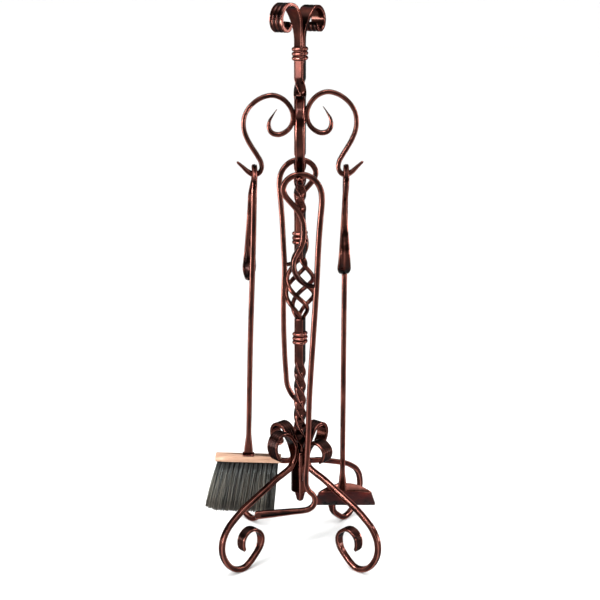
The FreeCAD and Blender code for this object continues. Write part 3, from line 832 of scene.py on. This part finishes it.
def tuft(rng, column, row):
    """Fibres of one tuft, which fan out to the left and to the front and back."""
    f = (column + 0.5 + TUFT_STAGGER * (row % 2 - 0.5)) / TUFT_COLUMNS
    middle = (TUFT_ROWS - 1) / 2
    root = Vector((-HOOK_R + TUFT_SPAN * (f - 0.5), BRUSH_Y + TUFT_ROW_STEP * (row - middle),
                   BLOCK_BOTTOM + 0.5))
    fibres = []
    for _ in range(TUFT_FIBRES):
        a, r = rng.uniform(0, 2 * math.pi), math.sqrt(rng.random())
        start = root + Vector((math.cos(a) * r * TUFT_ROOT_R[0], math.sin(a) * r * TUFT_ROOT_R[1], 0))
        g = min(1.0, max(0.0, f + r * math.cos(a) * 0.075 + rng.gauss(0, 0.012)))
        deep = min(1.0, max(-1.0, (row - middle + r * math.sin(a) * 0.8) / 2.2))
        end = Vector((-HOOK_R + TIP_LEFT + TIP_SPAN * g, BRUSH_Y + TIP_HALF_DEPTH * deep, 0))
        trimmed = TRIM_HEIGHT * max(0.0, TRIM_SHARE - g) / TRIM_SHARE
        end.z = BRISTLE_BOTTOM + trimmed + rng.uniform(0.0, TIP_UNEVEN)
        knee = start.lerp(end, 0.5)
        knee.x = start.x + (end.x - start.x) * 0.62 + rng.uniform(-0.8, 0.8)
        points = []
        for k in range(5):
            t = k / 4
            points.append(start * (1 - t) ** 2 + knee * 2 * t * (1 - t) + end * t * t)
        # The last factor darkens the fibres whose tips lie at the brush's right end: a painted shadow of the
        # leg
        tone = min(1.0, max(0.1, rng.gauss(0.48, 0.29))) * (1 - 0.4 * ramp(g, 0.76, 0.92))
        verts, faces, _ = tube(points, lambda t: FIBRE_R[0] + (FIBRE_R[1] - FIBRE_R[0]) * t, 3)
        # Each fibre fades to black over the 26 mm below the block: painted shade under the block and between
        # the tufts
        fibres.append((verts, faces, [tone * ramp(BLOCK_BOTTOM - v.z, 3, 26) for v in verts]))
    return fibres


def pan_edge(length):
    """Half of the pan's outline as (sideways, distance from the back): side, corner and bowed back."""
    slope = (PAN_MOUTH_HALF - PAN_REAR_HALF) / (length - PAN_CORNER_START)
    side_end = PAN_CORNER_START + PAN_CORNER_R
    edge = []
    for k in range(12):
        s = length + (side_end - length) * k / 11
        edge.append((PAN_REAR_HALF + slope * (s - PAN_CORNER_START), s))
    side_x = edge[-1][0]
    for k in range(1, 9):
        a = math.radians(9 * k)
        edge.append((side_x - PAN_CORNER_R * (1 - math.cos(a)), side_end - PAN_CORNER_R * 1.35 * math.sin(a)))
    corner_x, corner_s = edge[-1]
    for k in range(1, 13):
        share = 1 - k / 12
        edge.append((corner_x * share, corner_s * share ** 2))
    return edge


def pan_shape():
    """Tray of sheet metal: walls low at the mouth and higher at the rounded back."""
    rear, mouth = Vector((0, *PAN_REAR)), Vector((0, *PAN_MOUTH))
    along = (mouth - rear).normalized()
    up = Vector((0, -along.z, along.y))
    length = (mouth - rear).length
    edge = pan_edge(length)
    outline = edge + [(-x, s) for x, s in edge[-2::-1]]
    count = len(outline)
    verts, tone_and_painted_light = [], []
    for i, (x, s) in enumerate(outline):
        before, after = outline[max(i - 1, 0)], outline[min(i + 1, count - 1)]
        out = Vector((before[1] - after[1], after[0] - before[0])).normalized()
        arch = max(0.0, 1 - (x / PAN_REAR_HALF) ** 2) * (1 - ramp(s, 2, 14))
        wall = PAN_WALL_SIDE + (PAN_WALL_REAR - PAN_WALL_SIDE) * arch
        profile = []
        for k in range(6):
            a = math.radians(18 * k)
            profile.append((PAN_BEND * (math.sin(a) - 1), PAN_BEND * (1 - math.cos(a))))
        profile += [(0.05 * wall, (PAN_BEND + wall) / 2), (0.06 * wall, wall)]
        for o, h in profile:
            flat = Vector((PAN_CENTRE_X + x + out.x * o, 0, 0))
            verts.append(flat + rear + along * (s + out.y * o) + up * h)
            tone_and_painted_light.append(PAN_RIM_WEAR if h > 2.5 or s > length - 1 else PAN_WEAR)
    n = len(verts) // count
    faces = []
    for i in range(count - 1):
        faces += [(i * n + j, i * n + j + 1, (i + 1) * n + j + 1, (i + 1) * n + j) for j in range(n - 1)]
    for i in range(count // 2):
        a, b = i * n, (count - 1 - i) * n
        c, d = (i + 1) * n, (count - 2 - i) * n
        faces.append((a, c, d, b) if d != c else (a, c, b))
    return verts, faces, tone_and_painted_light


def make_shovel():
    """Rod, tray with the sheet's thickness and eased edges, and the two rivet heads."""
    piece("shovel_handle", hang(tool_bar("shovel_rod", "foot"), 0), "shovel", ["shovel_rod"])
    pan = piece("shovel_tray", pan_shape(), "shovel", ["shovel_pan"])
    thick = pan.modifiers.new("sheet", "SOLIDIFY")
    thick.thickness = PAN_SHEET * MM
    thick.offset = -1
    soft = pan.modifiers.new("edges", "BEVEL")
    soft.width = PAN_EDGE * MM
    soft.segments = 2
    slope = Vector((0, PAN_MOUTH[0] - PAN_REAR[0], PAN_MOUTH[1] - PAN_REAR[1])).normalized()
    up = Vector((0, -slope.z, slope.y))
    middle = Vector((HOOK_R, *PAN_REAR)) + up * RIVET_SEAT[0] - slope * RIVET_SEAT[1]
    heads = [dome_head(middle + Vector((side * RIVET_SPREAD, 0, 0)), *RIVET_HEAD, -slope) for side in (-1, 1)]
    piece("shovel_rivet_heads", merged(heads), "shovel", ["shovel_rivets"])


def make_rake_and_poker():
    """The two tools that are one forged bar each; the rake hangs a little turned."""
    rake = hang(tool_bar("ash_rake", "blade"), 270, RAKE_TURN, RAKE_RAISE)
    piece("ash_rake_bar", rake, "ash_rake", ["ash_rake"])
    piece("poker_bar", hang(tool_bar("poker", "point"), 90), "poker", ["poker"])


# ---------------------------------------------------------------- studio

def studio_floor():
    """Pale floor that reaches the horizon."""
    reach = FLOOR_REACH / MM
    corners = [Vector((x * reach, y * reach, 0)) for x, y in ((-1, -1), (1, -1), (1, 1), (-1, 1))]
    floor = mesh_object("floor", corners, [(0, 1, 2, 3)])
    floor.data.materials.append(floor_material())


def studio_sky():
    """Soft light from overhead and a thin pale band at the horizon, by the height of the direction."""
    world = bpy.data.worlds.new("studio")
    bpy.context.scene.world = world
    world.use_nodes = True
    nodes, links = world.node_tree.nodes, world.node_tree.links
    place = nodes.new("ShaderNodeTexCoord")
    split = nodes.new("ShaderNodeSeparateXYZ")
    links.new(place.outputs["Generated"], split.inputs["Vector"])
    level = maths(nodes, links, "MULTIPLY_ADD", split.outputs["Z"], 0.5, 0.5)
    tone = colour_ramp(nodes, links, level, [(0.545, (0.42, 0.42, 0.42)), (0.61, (0.08, 0.078, 0.076)),
                                             (0.85, (0.12, 0.118, 0.116)), (0.91, (1, 1, 1))])
    links.new(tone, nodes["Background"].inputs["Color"])
    nodes["Background"].inputs["Strength"].default_value = SKY_STRENGTH


def studio_lights():
    """Soft boxes that face the object."""
    for name, spot, size, power, colour in LIGHTS:
        data = bpy.data.lights.new(name, "AREA")
        data.shape = "RECTANGLE"
        data.size, data.size_y = size
        data.energy = power
        data.color = colour
        data.spread = math.radians(LIGHT_SPREAD)
        lamp = bpy.data.objects.new(name, data)
        lamp.location = spot
        lamp.rotation_euler = (Vector(spot) - LIGHT_AIM).to_track_quat("Z", "Y").to_euler()
        bpy.context.collection.objects.link(lamp)


def studio_camera():
    """Camera in front, looking a little down."""
    data = bpy.data.cameras.new("camera")
    data.lens = CAMERA_LENS
    data.sensor_width = CAMERA_SENSOR
    camera = bpy.data.objects.new("camera", data)
    camera.location = CAMERA_AT
    camera.rotation_euler = (math.radians(CAMERA_PITCH), 0, 0)
    bpy.context.collection.objects.link(camera)
    bpy.context.scene.camera = camera
    bpy.context.scene.view_settings.view_transform = "Standard"


studio_floor()
studio_sky()
studio_lights()
studio_camera()
stand_posts()
stand_hub()
stand_collars()
stand_basket()
stand_legs()
stand_hooks()
stand_horns()
make_brush()
make_shovel()
make_rake_and_poker()
